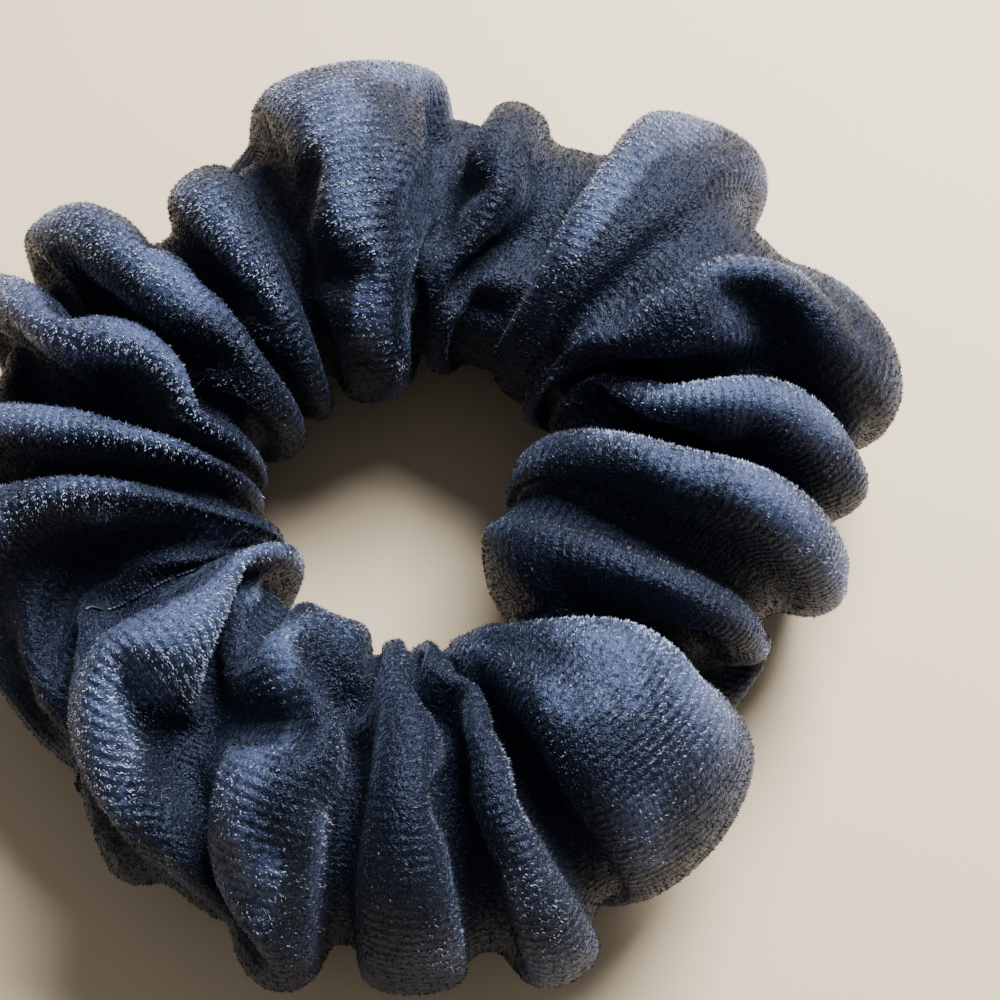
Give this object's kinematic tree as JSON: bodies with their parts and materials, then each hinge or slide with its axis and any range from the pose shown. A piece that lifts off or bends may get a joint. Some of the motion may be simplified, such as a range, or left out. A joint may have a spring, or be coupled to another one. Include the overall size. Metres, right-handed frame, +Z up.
{
  "type": "scrunchie",
  "caption": "Gathered velvet hair scrunchie: a puffed fabric tube on a ring of flat elastic, lying flat.",
  "frame": {"origin": "on the axis of the ring, in the plane that the scrunchie lies on", "axes": "+Z up, along the axis of the ring; X and Y across the ring, with the closing seam about 210 degrees round from +X towards +Y"},
  "size_m": [0.1116, 0.112, 0.0387],
  "materials": {
    "velvet": "matte",
    "elastic": "matte",
    "thread": "satin"
  },
  "bodies": {
    "root": {"velvet_cover": "velvet", "elastic_band": "elastic", "elastic_join_stitches": "thread", "tube_seam_thread": "thread", "closing_seam_thread": "thread"}
  },
  "joints": []
}
